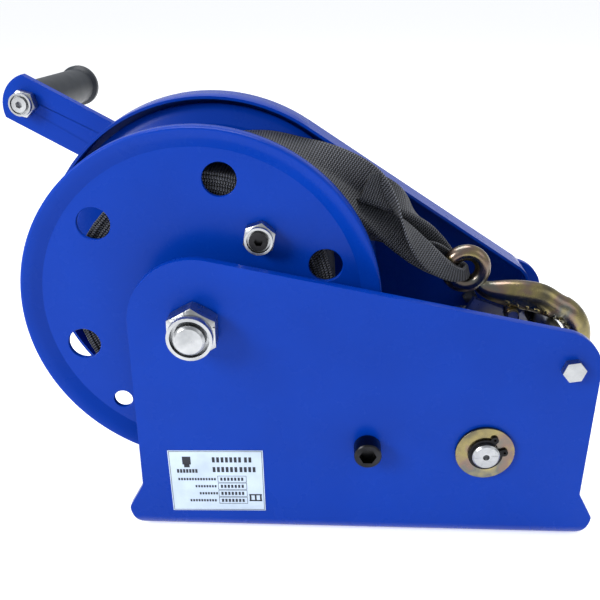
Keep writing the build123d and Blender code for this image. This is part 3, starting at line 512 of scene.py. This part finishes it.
def folded_section(fold, squash, ripple):
    """Points and normals across the strap, its outer thirds folded over by an angle."""
    piece = STRAP_W / SECTION_STEPS
    x = y = 0.0
    line = []
    for step in range(SECTION_STEPS + 1):
        along = step * piece
        left = 1 - eased((along - STRAP_W / 3) / FOLD_LENGTH + 0.5)
        right = eased((along - 2 * STRAP_W / 3) / FOLD_LENGTH + 0.5)
        heading = fold * (left + right) + ripple * math.sin(along * RIPPLES_ACROSS)
        line.append((x, y, heading))
        x += piece * math.cos(heading)
        y += piece * math.sin(heading)
    middle_x = sum(p[0] for p in line) / len(line)
    middle_y = sum(p[1] for p in line) / len(line)
    return [
        ((across - middle_x) * squash, (out - middle_y) * (0.5 + 0.5 * squash), heading)
        for across, out, heading in line
    ]


def tail():
    """The strap's free end: off the roll, gathered, through the eye and back beside itself."""
    points, directions, angles, squashes = zip(*STATIONS)
    places = [Vector(point) * MM + EYE_AT for point in points]
    widths = [Vector(direction) for direction in directions]
    folds = [Vector((math.radians(angle), squash)) for angle, squash in zip(angles, squashes)]
    count = (len(STATIONS) - 1) * SPAN_STEPS
    rows, uvs, length = [], [], 0.0
    last = None
    for step in range(count + 1):
        share = step / SPAN_STEPS
        centre = catmull(places, share)
        ahead = catmull(places, min(share + 0.02, len(places) - 1))
        behind = catmull(places, max(share - 0.02, 0))
        forward = (ahead - behind).normalized()
        width = catmull(widths, share)
        width = (width - forward * forward.dot(width)).normalized()
        normal = forward.cross(width)
        fold, squash = catmull(folds, share)
        if last is not None:
            length += (centre - last).length
        last = centre
        ripple = RIPPLE * min(fold, 1.0) * math.sin(length * RIPPLES_ALONG)
        section = folded_section(fold, squash, ripple)
        upper, lower, uv_up, uv_low = [], [], [], []
        for index, (across, out, heading) in enumerate(section):
            side = width * -math.sin(heading) + normal * math.cos(heading)
            spot = centre + width * across + normal * out
            upper.append(spot + side * SHEET_T / 2)
            lower.append(spot - side * SHEET_T / 2)
            uv = (length, index * STRAP_W / SECTION_STEPS)
            uv_up.append(uv)
            uv_low.append(uv)
        rows.append(upper + lower[::-1])
        uvs.append(uv_up + uv_low[::-1])
    obj = ribbon("strap_free_end", rows, uvs, WEBBING)
    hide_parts("strap_tail")
    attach(obj, "frame")


tail()


# ---- rating plate graphics: plain bars and boxes, no words --------------------------------------------
def flat_piece(name, parts, body, material):
    """Thin boxes given as (centre, half sizes, turn about Y) joined in one mesh."""
    mesh = bpy.data.meshes.new(name)
    shape = bmesh.new()
    for centre, half, turn in parts:
        made = bmesh.ops.create_cube(shape, size=2.0)
        matrix = (
            Matrix.Translation(centre)
            @ Matrix.Rotation(turn, 4, "Y")
            @ Matrix.Diagonal((*half, 1.0))
        )
        bmesh.ops.transform(shape, matrix=matrix, verts=made["verts"])
    shape.to_mesh(mesh)
    shape.free()
    obj = bpy.data.objects.new(name, mesh)
    bpy.context.scene.collection.objects.link(obj)
    paint(obj, material)
    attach(obj, body)


label_low, label_high = (Vector(corner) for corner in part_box("label_plate"))
LABEL_AT = (label_low + label_high) / 2
LABEL_FRONT = label_low.y
LABEL_TURN = math.radians(-1.4)


def on_label(u, v, half_u, half_v, depth=0.00006):
    """A bar on the plate, u and v in mm from its middle, as a part for flat_piece."""
    x = u * MM * math.cos(-LABEL_TURN) - v * MM * math.sin(-LABEL_TURN)
    z = u * MM * math.sin(-LABEL_TURN) + v * MM * math.cos(-LABEL_TURN)
    centre = Vector((LABEL_AT.x + x, LABEL_FRONT - depth / 2, LABEL_AT.z + z))
    return centre, (half_u * MM, depth, half_v * MM), LABEL_TURN


HEADING_PITCH = 3.0
HEADINGS = ((17.6, ((7.5, 10.5), (23.0, 4.0))), (9.6, ((6.0, 9.0), (21.5, 6.0))))
TOP_ROW_V = 1.6
ROW_PITCH = 6.0
ROW_STARTS = (-27.0, -15.5, -13.0, -20.0)
SMALL_PITCH = 1.9
VALUE_PITCH = 2.4
CELL_U = 10.4
CELL_HALF_U = 9.8
CELL_HALF_V = 2.6
CELL_LINE = 0.14
BORDER_U = 31.7
BORDER_V = 24.3
BORDER_LINE = 0.16

bars = []
for v, words in HEADINGS:
    for word_u, word_half in words:
        for letter in range(int(word_half * 2 / HEADING_PITCH)):
            letter_u = word_u - word_half + HEADING_PITCH / 2 + letter * HEADING_PITCH
            bars.append(on_label(letter_u, v, 0.95, 2.1))
for row, start in enumerate(ROW_STARTS):
    v = TOP_ROW_V - row * ROW_PITCH
    u = start
    while u < -1.5:
        bars.append(on_label(u + 0.8, v, 0.62, 0.95))
        u += SMALL_PITCH
    for letter in range(7):
        bars.append(on_label(3.0 + letter * VALUE_PITCH, v, 0.75, 1.3))
    for edge in (-CELL_HALF_V, CELL_HALF_V):
        bars.append(on_label(CELL_U, v + edge, CELL_HALF_U, CELL_LINE))
    for edge in (-CELL_HALF_U, CELL_HALF_U):
        bars.append(on_label(CELL_U + edge, v, CELL_LINE, CELL_HALF_V + 0.1))
for edge in (-1, 1):
    bars.append(on_label(0, edge * BORDER_V, BORDER_U + 0.1, BORDER_LINE))
    bars.append(on_label(edge * BORDER_U, 0, BORDER_LINE, BORDER_V))
bars.append(on_label(-20.0, 17.0, 2.9, 3.2))
bars.append(on_label(-20.0, 12.8, 1.9, 1.4))
for letter in range(7):
    bars.append(on_label(-26.4 + letter * 2.1, 8.4, 0.75, 1.5))
bars.append(on_label(26.0, -16.5, 4.4, 0.5))
bars.append(on_label(26.0, -11.5, 4.4, 0.5))
bars.append(on_label(22.4, -14.0, 0.6, 2.8))
bars.append(on_label(26.0, -14.0, 0.6, 2.8))
bars.append(on_label(29.6, -14.0, 0.6, 2.8))
flat_piece("label_print", bars, "frame", INK)

# ---- stamped marks on the crank shaft's end ------------------------------------------------------------
SHAFT_AT = Vector((0.08218, 0.0, 0.071))
SHAFT_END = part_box("crank_shaft")[0][1]
marks = []
for degrees in (8, 66, 128, 188, 250, 305):
    turn = math.radians(degrees)
    spot = SHAFT_AT + Vector((math.cos(turn), 0, math.sin(turn))) * 0.0055
    spot.y = SHAFT_END - 0.00004
    marks.append((spot, (0.0021, 0.00010, 0.00035), -turn))
flat_piece("shaft_marks", marks, "crank", ZINC)

# ---- raised marks along the hook's side: plain bumps -----------------------------------------------------
BUMP_SPINE = [
    (99.0, 157.0),
    (106.0, 154.6),
    (113.0, 152.6),
    (120.0, 150.8),
    (126.5, 149.2),
    (132.5, 146.4),
    (138.0, 142.6),
    (142.4, 137.8),
    (145.6, 132.4),
    (147.2, 127.0),
]
BUMP_HALF = (0.0024, 0.0014, 0.0013)
BUMP_Y = EYE_AT.y - 0.0066
bump_mesh = bpy.data.meshes.new("hook_bumps")
bump_shape = bmesh.new()
for index, (x, z) in enumerate(BUMP_SPINE):
    made = bmesh.ops.create_uvsphere(bump_shape, u_segments=16, v_segments=10, radius=1.0)
    lean_angle = math.radians(20 + 37 * (index % 3))
    matrix = (
        Matrix.Translation((x * MM, BUMP_Y, z * MM))
        @ Matrix.Rotation(lean_angle, 4, "Y")
        @ Matrix.Diagonal((*BUMP_HALF, 1.0))
    )
    bmesh.ops.transform(bump_shape, matrix=matrix, verts=made["verts"])
bump_shape.to_mesh(bump_mesh)
bump_shape.free()
bump_mesh.polygons.foreach_set("use_smooth", [True] * len(bump_mesh.polygons))
bumps = bpy.data.objects.new("hook_bumps", bump_mesh)
bpy.context.scene.collection.objects.link(bumps)
paint(bumps, YELLOW)
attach(bumps, "hook")
